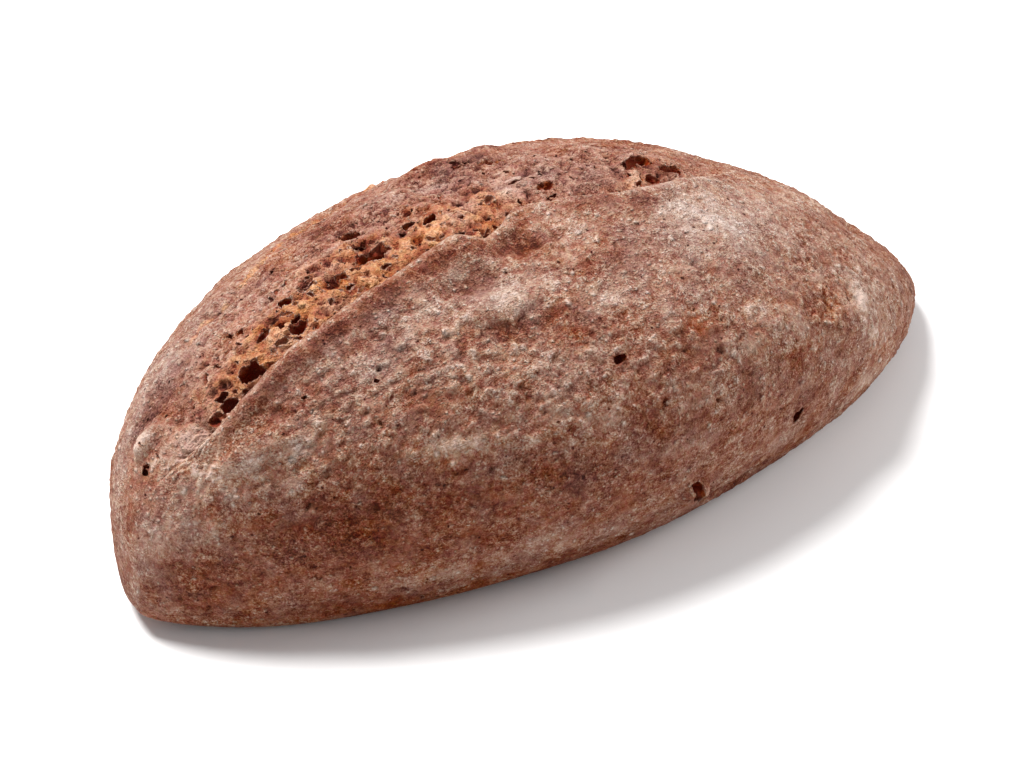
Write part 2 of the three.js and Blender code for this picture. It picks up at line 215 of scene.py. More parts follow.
def smooth_point(x, g):
    """The smooth form's points at (x, g), past the underside's edges to its middle at -180 and 360."""
    u = np.clip(x / (LENGTH / 2), -1, 1)
    top = mix(NOSE_HEIGHT, HEIGHT, taper(u, TOP_TAPER))
    lift = np.maximum(0, (np.abs(u) - BASE_LENGTH) / (1 - BASE_LENGTH))
    bottom = NOSE_HEIGHT * (1 - np.sqrt(1 - lift**BASE_LIFT_POWER))
    widest = mix(bottom, top, WIDEST_AT)
    far = g < 90
    far_half, near_half = WIDTH / 2 * taper(u, FAR_TAPER), WIDTH / 2 * taper(u, NEAR_TAPER)
    even = smoothstep(*EVEN_ENDS, np.abs(u))
    half = mix(np.where(far, far_half, near_half), (far_half + near_half) / 2, even)
    middle = even * (far_half - near_half) / 2 - np.where(u < 0, *END_LEAN) * u**2
    rise = np.where(far, g, 180 - g)  # 90 on the crest, 0 at the widest point, -90 at the underside's edge
    turn = np.radians(rise)
    side = np.where(rise >= -90, mix(BASE_WIDTH, 1, np.cos(turn)), BASE_WIDTH * (2 + rise / 90))
    out = np.where(rise >= 0, np.cos(turn), side)
    lower = np.where(rise >= -90, mix(widest, bottom, -np.sin(turn)), bottom)
    z = np.where(rise >= 0, mix(widest, top, np.sin(turn)), lower)
    return np.stack([x + 0 * z, np.where(far, 1, -1) * half * out + middle, z], -1)


def smooth_frame(x, g):
    """The smooth form's outward normals at (x, g), and its directions round the girth to the far side."""
    reach = LENGTH / 2 - 0.01
    behind, ahead = (smooth_point(np.clip(x + step, -reach, reach), g) for step in (-0.5, 0.5))
    forward = ahead - behind
    far_way = smooth_point(x, g - 0.5) - smooth_point(x, g + 0.5)
    far_way /= np.linalg.norm(far_way, axis=-1, keepdims=True)
    normal = np.cross(forward, far_way)
    return normal / np.linalg.norm(normal, axis=-1, keepdims=True), far_way


def lattice_value(i, j, k):
    """A number from 0 to 1 for each corner of a lattice, the same one each time."""
    s = np.sin(i * 127.1 + j * 311.7 + k * 74.7) * 43758.5453
    return s - np.floor(s)


def bumps(p, spacing, shift):
    """Smooth noise from -1 to 1 with bumps about `spacing` apart."""
    q = p / spacing + np.array([shift, 0, 0])
    i, j, k = np.moveaxis(np.floor(q), -1, 0)
    a, b, c = np.moveaxis(smoothstep(0, 1, q - np.floor(q)), -1, 0)
    corner = {
        (dj, dk): mix(lattice_value(i, j + dj, k + dk), lattice_value(i + 1, j + dj, k + dk), a)
        for dj in (0, 1)
        for dk in (0, 1)
    }
    return 2 * mix(mix(corner[0, 0], corner[1, 0], b), mix(corner[0, 1], corner[1, 1], b), c) - 1


def layered(points, layers, start=0):
    """Bumps of several sizes added up, each (height, spacing, shift)."""
    return sum((height * bumps(points, spacing, shift) for height, spacing, shift in layers), start)


def spots(x, g, places, steepness=1):
    """The sum of round spots, each (x, g, half length, half width, strength)."""
    total = np.zeros(np.broadcast(x, g).shape)
    for spot_x, spot_g, half_length, half_width, strength in places:
        a = (x - spot_x) / half_length
        b = (g - spot_g) * MM_PER_DEGREE * taper(spot_x / (LENGTH / 2), TOP_TAPER) / half_width
        total += strength * np.exp(-((a * a + b * b) ** steepness))
    return total


def band(gap, middle, half_width):
    """1 along a line that runs so many degrees from the ear, and less to either side of it."""
    return np.exp(-(((gap - middle) / half_width) ** 2))


def swollen(x, g, points):
    """The rise of the crust's low waves, blisters and dents."""
    return WAVE_HEIGHT * bumps(points, 17, 0) + spots(x, g, SWELLINGS, 2)


def crags(points):
    """The rise of the torn crumb, which lies below the far crust."""
    return CRAG_HEIGHT * bumps(points, 9, 3) - FAR_EDGE_STEP


def far_edge(x, g):
    """Where the torn crumb ends on the far side, in degrees, wavering by a few."""
    return along(FAR_CRUST_EDGE, x) + 3 * bumps(np.stack([x, g, 0 * x], -1), 11, 5)


def crumb_share(x, g):
    """0 on the crust, 1 well inside the torn crumb."""
    edge = far_edge(x, g)
    torn = smoothstep(edge - 1.5, edge + 1.5, g) * smoothstep(1, -1, g - along(EAR_LINE, x))
    return torn * along(BURST_STRENGTH, x)


def torn_level(x, g, points):
    """How far the torn crumb lies above the smooth form, below 0 nearly everywhere."""
    gap = g - along(EAR_LINE, x)
    trough = 0.8 * np.exp(np.minimum(gap - EAR_FOOT, 0) / TROUGH_REACH)
    trough += 0.2 * smoothstep(EAR_FOOT, -3.2, gap)
    torn = crumb_share(x, np.minimum(g, g - gap - 1)) * crags(points)
    return torn - TROUGH_DEPTH * along(BURST_STRENGTH, x) * trough


FAN_START = (-101.5, 114.5)  # (x, g) where the ear starts
FAN_MM_PER_DEGREE = 0.7  # round the girth there
FAN_REACH = 11
STRANDS_PER_TURN = 46
STRAND_HEIGHT = 0.25
STRAND_WAVERING = [(0.3, 4, 31), (0.1, 1.6, 33)]  # radians, spacing, shift


def drawn_out(x, g, points):
    """From 0 to 1: strands of dough at the blunt end, which fan out from where the ear starts."""
    along_loaf, round_girth = x - FAN_START[0], (g - FAN_START[1]) * FAN_MM_PER_DEGREE
    away = np.hypot(along_loaf, round_girth) / FAN_REACH
    turn = layered(points, STRAND_WAVERING, np.arctan2(round_girth, along_loaf))
    ridges = smoothstep(-0.6, 1, np.sin(STRANDS_PER_TURN / 2 * turn))
    return ridges * smoothstep(0.1, 0.3, away) * smoothstep(1.6, 0.8, away) * smoothstep(2, -3, along_loaf)


# The skin is laid as rings of points round the girth, closest at the ends. Its lines along the loaf are
# closest over the ear, which has rows of its own.
RINGS = 500
CROWDING = 0.079
EAR_ROWS = 33
ring_t = np.linspace(-1, 1, RINGS + 2)[1:-1]
ring_x = LENGTH / 2 * ring_t * (1 + CROWDING - CROWDING * ring_t**12)
ear_steps = np.linspace(0, len(EAR_SECTION) - 1, EAR_ROWS)
ear_rows = np.stack([along(list(enumerate(part)), ear_steps) for part in zip(*EAR_SECTION)], -1)
ear_g = along(EAR_LINE, ring_x)
bed_g = np.minimum(along(FAR_CRUST_EDGE, ring_x), ear_g - 14) - 8  # past the far edge of the crumb's bed
strips = [(360, 270, 12), (270, 180, 76), (180, ear_g + 10.3, 120), "ear",
          (ear_g - 6.8, bed_g, 40), (bed_g, 0, 50), (0, -90, 34), (-90, -180, 12)]
g_columns, ear_columns = [], []
for strip in strips:
    if strip == "ear":
        g_columns += [ear_g + turn for turn, _, _ in ear_rows]
        ear_columns += [(1, out, up) for _, out, up in ear_rows]
    else:
        start, end, count = strip
        g_columns += [mix(start, end, i / count) + 0 * ring_x for i in range(count)]
        ear_columns += [(0, 0, 0)] * count
g = np.stack(g_columns, 1)
x = np.broadcast_to(ring_x[:, None], g.shape)
on_ear, sideways, share = np.array(ear_columns).T

# The skin's shape: the smooth form, swollen and dented, torn and sunk along the slash, with its ear.
points = smooth_point(x, g)
normals, far_ways = smooth_frame(x, g)
burst = along(BURST_STRENGTH, x)
ear_strength = along(EAR_STRENGTH, x)
gap = g - along(EAR_LINE, x)
clear_of_base = smoothstep(0, 7, points[..., 2]) * smoothstep(-89, -40, g) * smoothstep(269, 220, g)
crumb = crumb_share(x, g)
rise = swollen(x, g, points) * clear_of_base + crumb * crags(points)
ear = ear_strength * layered(points, EAR_RAGGEDNESS, 1)
past_ear = 0.8 * burst * np.exp((gap - EAR_FOOT) / TROUGH_REACH) * (gap < 0)
ear_rise = np.where(share > 0, share * EAR_HEIGHT * ear, share * TROUGH_DEPTH * burst)
rise += np.where(on_ear == 1, ear_rise, -TROUGH_DEPTH * past_ear)
strands = drawn_out(x, g, points)
rise += STRAND_HEIGHT * strands
edge = far_edge(x, g)
bed = smoothstep(-3.4, -7, gap) * smoothstep(edge + 1, edge + 6, g) * smoothstep(0.12, 0.35, burst)
points = points + far_ways * (sideways * ear)[..., None] + normals * (rise - BED_DEPTH * bed)[..., None]
smooth_share = spots(x, g, SMOOTH, 2) + 0.3 * ear_strength * band(gap, 1.5, 3)


def closed_skin(name, rows, tips, values):
    """A closed mesh, in metres, of rings of points between two tips, with values for every point."""
    ring_count, line_count = rows.shape[:2]
    index = np.arange(ring_count * line_count).reshape(ring_count, line_count)
    beside = np.roll(index, -1, axis=1)
    quads = np.stack([index[:-1], index[1:], beside[1:], beside[:-1]], -1).reshape(-1, 4)
    blunt = np.stack([np.full(line_count, index.size), index[0], beside[0]], -1)
    narrow = np.stack([np.full(line_count, index.size + 1), beside[-1], index[-1]], -1)
    mesh = bpy.data.meshes.new(name)
    mesh.from_pydata((np.concatenate([rows.reshape(-1, 3), tips]) * MM).tolist(), [],
                     quads.tolist() + blunt.tolist() + narrow.tolist())
    for label, numbers in values.items():
        flat = numbers.reshape(index.size, -1)
        flat = np.concatenate([flat, np.zeros((2, flat.shape[1]))]).astype(np.float32)
        kind, field = ("FLOAT_VECTOR", "vector") if flat.shape[1] == 3 else ("FLOAT", "value")
        mesh.attributes.new(label, kind, "POINT").data.foreach_set(field, flat.ravel())
    skin = bpy.data.objects.new(name, mesh)
    bpy.context.scene.collection.objects.link(skin)
    return skin


ends = [(-LENGTH / 2, -END_LEAN[0], NOSE_HEIGHT), (LENGTH / 2, -END_LEAN[1], NOSE_HEIGHT)]
loaf = closed_skin("rye_loaf_crust", points, ends, {
    "way_out": normals,
    "relief_share": clear_of_base * (1 - np.clip(smooth_share, 0, 0.8)) * smoothstep(130, 113, np.abs(x)),
    "crumb": crumb,
    "sponge": crumb,
    "wrinkled": np.clip(0.25 + spots(x, g, WRINKLED), 0, 1),
    "floured": spots(x, g, FLOURED),
    # a darker band just under the ear's lip, partly painted shade
    "browned_and_shaded": spots(x, g, BROWNED_AND_SHADED) + ear_strength * 1.4 * band(gap, 3.4, 2.1),
    "reddened": spots(x, g, REDDENED) + strands,
    "strands": strands,
    "facing_up": normals[..., 2],
    "lip": ear_strength * band(gap, 0.7, 0.6),
})


def add(tree, kind, links=None, **settings):
    """Adds a node. `links` gives each input, by name or number, a value, an output or a node."""
    node = tree.nodes.new(kind)
    for key, value in settings.items():
        setattr(node, key, value)
    for key, value in (links or {}).items():
        named = [s for s in node.inputs if s.enabled and s.name == key]
        socket = named[0] if named else node.inputs[key]
        if isinstance(value, bpy.types.Node):
            value = next(s for s in value.outputs if s.enabled)
        if isinstance(value, bpy.types.NodeSocket):
            tree.links.new(value, socket)
        else:
            socket.default_value = value
    return node


def colour(hex_code):
    """An sRGB hex colour as linear numbers."""
    parts = [int(hex_code[i:i + 2], 16) / 255 for i in (1, 3, 5)]
    return [c / 12.92 if c <= 0.04045 else ((c + 0.055) / 1.055) ** 2.4 for c in parts] + [1]


# Baked rye dough, dry and matte all over: dough baked brown under pale grains of rye flour, bran and grit,
# each with its own tone and a touch of its own hue, with pinholes between them, painted dark as their
# shade. Broad patches are redder or greyer, and hollows of the relief are painted darker, as shade. The
# torn crumb is orange-brown, and its holes are painted darker and redder the deeper they go, as shade.
PATTERNS = {  # size in mm, stretch along the loaf, detail, shift
    "dust": (0.45, 1.1, 2.0, 3.3), "pebble": (1.5, 1.2, 3.0, 9.3), "scab": (4.0, 1.2, 4.0, 17.9),
    "patch": (10.0, 1.2, 4.0, 21.3), "cloud": (26.0, 1.2, 4.0, 31.7), "warmth": (7.0, 1.2, 4.0, 26.1),
}
GRAINS = {  # size in mm, widest reach, share of the cells left empty
    "fine grain": (0.5, 0.9, 0.0), "coarse grain": (1.1, 0.7, 0.3), "crumb of dough": (2.6, 0.5, 0.7),
    "pinhole": (1.9, 0.3, 0.65),
}
MIXTURES = {  # each a sum of patterns, grains and attributes, by weight
    # The relief and pinhole weights in the tones paint shade and light: darker in hollows and pinholes,
    # paler on the relief's tops.
    "grain height": {"dust": 0.4, "pebble": 1.2, "fine grain": 0.3, "coarse grain": 0.6,
                     "crumb of dough": 1.2, "pinhole": -0.9},
    "crust tone": {"dust": 1.05, "fine grain shade": 0.14, "coarse grain": 0.35, "crumb of dough": 0.42,
                   "pebble": 1.1, "scab": 0.6, "patch": 0.55, "cloud": 0.35, "floured": 0.25,
                   "facing_up": 0.1, "browned_and_shaded": -0.22, "lip": 0.12, "strands": 0.3, "pinhole": -0.8,
                   "relief": 0.27},
    "skin tone": {"dust": 1.1, "fine grain shade": 0.16, "coarse grain": 0.3, "crumb of dough": 0.2,
                  "pebble": 0.8, "scab": 0.6, "patch": 0.6, "cloud": 0.4, "floured": 0.22,
                  "browned_and_shaded": -0.2, "strands": 0.3, "pinhole": -0.8, "relief": 0.4},
    "sponge tone": {"dust": 0.8, "fine grain shade": 0.16, "coarse grain": 0.2, "pebble": 0.5,
                    "scab": 0.4, "patch": 0.3, "pinhole": -0.6, "browned_and_shaded": -0.2, "relief": 0.34},
    "tint": {"warmth": 1.0, "reddened": 0.15},
    "hue": {"coarse grain shade": 0.85, "fine grain shade": 0.15},
}
TONES = {  # what it follows, the value that gives the middle colour, and the colours, a quarter apart
    "crust": ("crust tone", 0.82, ("#451d13", "#683524", "#8a5946", "#a78571", "#c8aea0")),
    "skin": ("skin tone", 0.86, ("#54241a", "#844b37", "#a67964", "#bb9b8a", "#cbb7ac")),
    "sponge": ("sponge tone", 0.58, ("#43150b", "#76331c", "#9b5c3a", "#b67e58", "#cd9e7c")),
}
# the dark red-brown painted into the depths of the holes: painted shade
HOLE_PAINTED_SHADE = "#7c2c14"

crust = bpy.data.materials.new("baked_rye_crust")
crust.use_nodes = True
nt = crust.node_tree
nt.nodes.clear()
coords = add(nt, "ShaderNodeTexCoord").outputs["Object"]
seen = {name: add(nt, "ShaderNodeAttribute", attribute_name=name).outputs["Fac"]
        for name in ("crumb", "sponge", "floured", "browned_and_shaded", "reddened", "strands", "facing_up", "lip",
                     "relief", "hole_depth")}
for name, (size, stretch, detail, shift) in PATTERNS.items():
    per_size = 1 / (size * MM)
    drawn = add(nt, "ShaderNodeVectorMath", {0: coords, 1: (per_size / stretch, per_size, per_size),
                                             2: (shift, shift, shift)}, operation="MULTIPLY_ADD")
    seen[name] = add(nt, "ShaderNodeTexNoise", {"Vector": drawn, "Scale": 1.0, "Detail": detail,
                                                "Roughness": 0.65})
# The finest speckle is strong in some places and faint in others, and fainter under flour.
speckle = add(nt, "ShaderNodeMapRange", {0: seen["warmth"].outputs["Color"], 1: 0.4, 2: 0.6, 3: 0.45,
                                         4: 1.35})
speckle = add(nt, "ShaderNodeMath", {0: seen["floured"], 1: -0.2, 2: speckle}, operation="MULTIPLY_ADD")
wander = add(nt, "ShaderNodeVectorMath", {0: seen["pebble"].outputs["Color"], "Scale": 0.9 * MM},
             operation="SCALE")
for name in ("dust", "pebble"):
    seen[name] = add(nt, "ShaderNodeMath", {0: seen[name], 1: 0.5}, operation="SUBTRACT")
    seen[name] = add(nt, "ShaderNodeMath", {0: seen[name], 1: speckle}, operation="MULTIPLY")
# Grains fill their cells to a share of their own, which gives their size and how much they show.
wander = add(nt, "ShaderNodeVectorMath", {0: coords, 1: wander}, operation="ADD")
for name, (size, reach, left_out) in GRAINS.items():
    cells = add(nt, "ShaderNodeTexVoronoi", {"Vector": wander, "Scale": 1 / (size * MM)})
    chances = add(nt, "ShaderNodeSeparateColor", {0: cells.outputs["Color"]}).outputs
    share = add(nt, "ShaderNodeMapRange", {0: chances["Red"], 1: left_out, 2: 1.0})
    radius = add(nt, "ShaderNodeMath", {0: share, 1: reach, 2: 0.001}, operation="MULTIPLY_ADD")
    seen[name] = add(nt, "ShaderNodeMapRange", {0: cells, 1: 0.0, 2: radius, 3: share, 4: 0.0},
                     interpolation_type="SMOOTHSTEP")
    seen[name + " shade"] = chances["Green"]
for name, weights in MIXTURES.items():
    total = 0.0
    for part, weight in weights.items():
        total = add(nt, "ShaderNodeMath", {0: seen[part], 1: weight, 2: total}, operation="MULTIPLY_ADD")
    seen[name] = total
toned = {}
for name, (follows, middle, hex_codes) in TONES.items():
    tone = add(nt, "ShaderNodeMath", {0: seen[follows], 1: middle - 0.5}, operation="SUBTRACT")
    ramp = add(nt, "ShaderNodeValToRGB", {0: tone})
    stops = ramp.color_ramp.elements
    while len(stops) < len(hex_codes):
        stops.new(0.5)
    for i, hex_code in enumerate(hex_codes):
        stops[i].position = i / (len(hex_codes) - 1)
        stops[i].color = colour(hex_code)
    toned[name] = ramp
# A hole opens onto moist crumb, whatever it is cut in, and the deeper it goes, the more it is painted
# a dark red-brown: painted shade in the hole.
opened = add(nt, "ShaderNodeMapRange", {0: seen["hole_depth"], 1: 0.05, 2: 0.35})
moist = add(nt, "ShaderNodeMath", {0: seen["sponge"], 1: opened}, operation="MAXIMUM")
torn = add(nt, "ShaderNodeMix", {"Factor": moist, "A": toned["skin"], "B": toned["sponge"]},
           data_type="RGBA")
hole_shade = add(nt, "ShaderNodeMapRange", {0: seen["hole_depth"], 1: 0.1, 2: 1.2})
torn = add(nt, "ShaderNodeMix", {"Factor": hole_shade, "A": torn, "B": colour(HOLE_PAINTED_SHADE)}, data_type="RGBA")
opened = add(nt, "ShaderNodeMath", {0: seen["crumb"], 1: opened}, operation="MAXIMUM")
surface = add(nt, "ShaderNodeMix", {"Factor": opened, "A": toned["crust"], "B": torn}, data_type="RGBA")
# Patches are up to a third greyer or redder than their tone, and grains a few degrees off its hue.
redness = add(nt, "ShaderNodeMapRange", {0: seen["tint"], 1: 0.0, 2: 1.0, 3: 0.66, 4: 1.32})
turned = add(nt, "ShaderNodeMapRange", {0: seen["hue"], 1: 0.0, 2: 1.0, 3: 0.4915, 4: 0.5085})
surface = add(nt, "ShaderNodeHueSaturation", {"Color": surface, "Saturation": redness, "Hue": turned})
bump = add(nt, "ShaderNodeBump", {"Height": seen["grain height"], "Strength": 1.0, "Distance": 1.0 * MM})
shader = add(nt, "ShaderNodeBsdfPrincipled", {"Base Color": surface, "Roughness": 0.9, "Normal": bump,
                                              "Specular IOR Level": 0.12})
add(nt, "ShaderNodeOutputMaterial", {"Surface": shader})

# What the oven did to the skin, and the tearing to the crumb, all in millimetres: long low waves, flakes
# drawn out along the loaf, knobs, pits, bubbles with thin walls, and short cracks.
RELIEF = {
    "Rough height": 0.6, "Rough spacing": 6.0, "Knob height": 0.55, "Knob spacing": 3.0,
    "Flake height": 0.8, "Flake spacing": 9.0, "Flake layers": 4.0, "Pit depth": 1.2, "Pit spacing": 5.0,
    "Grit height": 0.32, "Grit spacing": 1.7, "Settling": -0.75,
    "Tear height": 2.6, "Tear spacing": 4.5, "Bubble depth": 3.0, "Bubble spacing": 4.2,
    "Small bubble depth": 1.5, "Small bubble spacing": 1.8, "Crack depth": 1.0, "Crack spacing": 3.2,
}
tree = bpy.data.node_groups.new("baked relief", "GeometryNodeTree")
for label in ("Geometry", *RELIEF):
    kind = "NodeSocketFloat" if label in RELIEF else "NodeSocketGeometry"
    tree.interface.new_socket(label, in_out="INPUT", socket_type=kind)
tree.interface.new_socket("Geometry", in_out="OUTPUT", socket_type="NodeSocketGeometry")
given = add(tree, "NodeGroupInput").outputs
here = {name: add(tree, "GeometryNodeInputNamedAttribute", {"Name": name}, data_type="FLOAT")
        for name in ("relief_share", "crumb", "sponge", "wrinkled")}
way_out = add(tree, "GeometryNodeInputNamedAttribute", {"Name": "way_out"}, data_type="FLOAT_VECTOR")
place = add(tree, "ShaderNodeVectorMath", {0: add(tree, "GeometryNodeInputPosition"), "Scale": 1 / MM},
            operation="SCALE")
drift = add(tree, "ShaderNodeTexNoise", {"Vector": place, "Scale": 0.4, "Detail": 3.0}).outputs["Color"]
warped = add(tree, "ShaderNodeVectorMath", {0: drift, 1: (3, 3, 3), 2: place}, operation="MULTIPLY_ADD")
WAVES = {  # stretch along the loaf, detail, distortion, and what of the noise becomes 0 and 1
    "Rough": (1.2, 4.0, 0.0, 0.25, 0.75), "Knob": (1.2, 2.0, 0.3, 0.5, 0.64),
    "Flake": (1.2, 4.0, 0.3, 0.0, 1.0), "Grit": (1.3, 1.0, 0.0, 0.25, 0.75),
    "Tear": (1.3, 4.0, 0.8, 0.25, 0.75), "Crack": (2.5, 2.0, 0.8, 0.25, 0.75),
}
HOLLOWS = {  # widest reach, share of the cells left out
    "Pit": (0.32, 0.5), "Bubble": (0.8, 0.0), "Small bubble": (0.75, 0.1),
}
for name, (stretch, detail, distortion, zero, one) in WAVES.items():
    per_mm = add(tree, "ShaderNodeMath", {0: 1.0, 1: given[name + " spacing"]}, operation="DIVIDE")
    drawn = add(tree, "ShaderNodeVectorMath", {0: place, 1: (1 / stretch, 1, 1)}, operation="MULTIPLY")
    here[name] = add(tree, "ShaderNodeTexNoise", {"Vector": drawn, "Scale": per_mm, "Detail": detail,
                                                  "Roughness": 0.6, "Distortion": distortion})
    here[name] = add(tree, "ShaderNodeMapRange", {0: here[name], 1: zero, 2: one}, clamp=name == "Knob",
                     interpolation_type="SMOOTHSTEP" if name == "Knob" else "LINEAR")
for name, (reach, left_out) in HOLLOWS.items():
    per_mm = add(tree, "ShaderNodeMath", {0: 1.0, 1: given[name + " spacing"]}, operation="DIVIDE")
    cells = add(tree, "ShaderNodeTexVoronoi", {"Vector": warped, "Scale": per_mm})
    chance = add(tree, "FunctionNodeSeparateColor", {0: cells.outputs["Color"]})
    size = add(tree, "ShaderNodeMapRange", {0: chance, 1: left_out, 2: 1.0})
    radius = add(tree, "ShaderNodeMath", {0: size, 1: reach, 2: 0.001}, operation="MULTIPLY_ADD")
    bowl = add(tree, "ShaderNodeMapRange", {0: cells, 1: 0.0, 2: radius, 3: -1.0, 4: 0.0},
               interpolation_type="SMOOTHSTEP")
    here[name] = add(tree, "ShaderNodeMath", {0: bowl, 1: size}, operation="MULTIPLY")
# Each layer of flakes rises slowly to its edge and drops off there.
layers = add(tree, "ShaderNodeMath", {0: here["Flake"], 1: given["Flake layers"]}, operation="MULTIPLY")
layer = add(tree, "ShaderNodeMath", {0: layers}, operation="FRACT")
drop = add(tree, "ShaderNodeMath", {0: layer, 1: -4.0, 2: 4.0}, operation="MULTIPLY_ADD")
flake = add(tree, "ShaderNodeMath", {0: layer, 1: drop}, operation="MINIMUM")
here["Flake"] = add(tree, "ShaderNodeMath", {0: flake, 1: here["wrinkled"]}, operation="MULTIPLY")
lumpiness = add(tree, "ShaderNodeMath", {0: here["wrinkled"], 1: 0.8, 2: 0.2}, operation="MULTIPLY_ADD")
here["Knob"] = add(tree, "ShaderNodeMath", {0: here["Knob"], 1: lumpiness}, operation="MULTIPLY")
# A crack runs where its noise crosses the middle value.
middle = add(tree, "ShaderNodeMath", {0: here["Crack"], 1: 0.5}, operation="SUBTRACT")
middle = add(tree, "ShaderNodeMath", {0: middle}, operation="ABSOLUTE")
here["Crack"] = add(tree, "ShaderNodeMapRange", {0: middle, 1: 0.0, 2: 0.08, 3: -1.0, 4: 0.0})
# The crust, the crumb that dried into a skin, and the raw sponge each have their own relief.
risen = []
for parts in (("Rough", "Knob", "Flake", "Pit", "Grit"), ("Rough", "Crack", "Small bubble", "Grit"),
              ("Tear", "Bubble", "Small bubble", "Grit")):
    total = given["Settling"]
    for name in parts:
        height = given[name + (" depth" if name in HOLLOWS or name == "Crack" else " height")]
        total = add(tree, "ShaderNodeMath", {0: here[name], 1: height, 2: total}, operation="MULTIPLY_ADD")
    risen.append(total)
crust_rise, skin_rise, sponge_rise = risen
torn_rise = add(tree, "ShaderNodeMix", {"Factor": here["sponge"], "A": skin_rise, "B": sponge_rise})
fine_rise = add(tree, "ShaderNodeMix", {"Factor": here["crumb"], "A": crust_rise, "B": torn_rise})
fine_rise = add(tree, "ShaderNodeMath", {0: fine_rise, 1: here["relief_share"]}, operation="MULTIPLY")
kept = add(tree, "GeometryNodeStoreNamedAttribute",
           {"Geometry": given["Geometry"], "Name": "relief", "Value": fine_rise},
           data_type="FLOAT", domain="POINT")
offset = add(tree, "ShaderNodeMath", {0: fine_rise, 1: MM}, operation="MULTIPLY")
offset = add(tree, "ShaderNodeVectorMath", {0: way_out, "Scale": offset}, operation="SCALE")
moved = add(tree, "GeometryNodeSetPosition", {"Geometry": kept, "Offset": offset})
add(tree, "NodeGroupOutput", {0: add(tree, "GeometryNodeSetMaterial", {
    "Geometry": add(tree, "GeometryNodeRealizeInstances", {"Geometry": moved}), "Material": crust})})
relief_tree = tree


def run_tree(target, tree, inputs):
    """Gives an object the tree as a modifier and puts the plain mesh that it makes in the object."""
    modifier = target.modifiers.new(tree.name, "NODES")
    modifier.node_group = tree
    for item in tree.interface.items_tree:
        if item.in_out == "INPUT" and item.name in inputs:
            modifier[item.identifier] = inputs[item.name]
    made = bpy.data.meshes.new_from_object(target.evaluated_get(bpy.context.evaluated_depsgraph_get()))
    made.shade_smooth()
    target.modifiers.remove(modifier)
    target.data = made


run_tree(loaf, relief_tree, RELIEF)

# Gas holes, where a bubble broke through: (x, g, length, width, depth), first those in the crust, then
# those in the torn crumb. The one by the lump on the blunt end goes through both.
LUMP_HOLE = (-116, 93, 3.4, 3, 6)
CRUST_HOLES = [
    LUMP_HOLE, (-14, 144, 2.8, 2.6, 5), (1, 205, 4.8, 4.8, 7), (38, 192, 4.4, 4, 6), (65, 150, 1.4, 4, 4),
    (-25, 102, 1.8, 1.4, 3), (-98, 130, 1.4, 1.2, 2), (-52, 109, 1.6, 1.6, 2), (-84, 120, 1.4, 1.2, 2),
    (-69, 126, 1.4, 1.2, 2), (-31, 231, 1.8, 1.2, 2), (-14, 241, 2.2, 1.2, 2), (-2, 210, 2, 1.6, 3),
    (-66, 236, 1.4, 1.2, 2),
]
CRUMB_HOLES = [
    LUMP_HOLE, (-90, 95, 7, 5, 10), (-75, 92, 4.6, 3.8, 5), (-82, 86, 4.2, 3, 4), (-72, 80, 4.6, 2.8, 4),
    (-46, 70, 5, 4.6, 8), (-48, 84, 9, 4, 7), (-66, 81, 4.2, 3, 4), (-98, 101, 4.6, 3.2, 5),
    (-30, 83, 4.4, 3.4, 5), (4, 86, 4.8, 3.4, 5), (2, 66, 8, 4.5, 7), (36, 84, 8, 4.5, 7),
    (43, 88, 7.5, 4.5, 8), (-6, 62, 4, 2.8, 4), (-74, 56, 4, 2.8, 3), (-102, 104, 3, 2.4, 4),
    (-98, 95, 3.4, 2.4, 4), (-34, 80, 4, 2.6, 4), (-58, 85, 3.6, 2.6, 4), (34, 92, 5, 3, 4),
    (-85, 78, 3.2, 2.4, 3), (-20, 94, 3, 2.6, 4),
]
# Smaller ones are strewn over the crumb. "Ragged" is how far a hole's wall strays from a round one.
HOLES = {"Ragged": 1.6 * MM, "Small ragged": 0.9 * MM, "Smallest": 0.8 * MM, "Largest": 2.6 * MM,
         "Spacing": 2.6 * MM, "Density": 0.0, "Seed": 4}
HOLE_LUMPS = {"Ragged": 3.4, "Small ragged": 1.5}  # mm between the lumps of a hole's wall
NOISE_GAIN = 2.6  # noise strays by about 0.2 from its middle, and this makes it half
LOOSE_BIT = 2000  # points: a bit of the mesh with fewer has been cut off by the holes, and falls out
HOLE_SINK = 0.15  # how far a hole's middle lies below the surface, as a share of its depth

tree = bpy.data.node_groups.new("gas holes cut open", "GeometryNodeTree")
tree.interface.new_socket("Geometry", in_out="INPUT", socket_type="NodeSocketGeometry")
tree.interface.new_socket("Places", in_out="INPUT", socket_type="NodeSocketObject")
for label, value in HOLES.items():
    kind = "NodeSocketInt" if isinstance(value, int) else "NodeSocketFloat"
    tree.interface.new_socket(label, in_out="INPUT", socket_type=kind)
tree.interface.new_socket("Geometry", in_out="OUTPUT", socket_type="NodeSocketGeometry")
given = add(tree, "NodeGroupInput").outputs
places = add(tree, "GeometryNodeObjectInfo", {"Object": given["Places"]}).outputs["Geometry"]
size = add(tree, "GeometryNodeInputNamedAttribute", {"Name": "size"}, data_type="FLOAT_VECTOR")
turn = add(tree, "GeometryNodeInputNamedAttribute", {"Name": "turn"}, data_type="FLOAT_VECTOR")
ball = add(tree, "GeometryNodeMeshIcoSphere", {"Radius": 1.0, "Subdivisions": 4})
small_ball = add(tree, "GeometryNodeMeshIcoSphere", {"Radius": 1.0, "Subdivisions": 2})
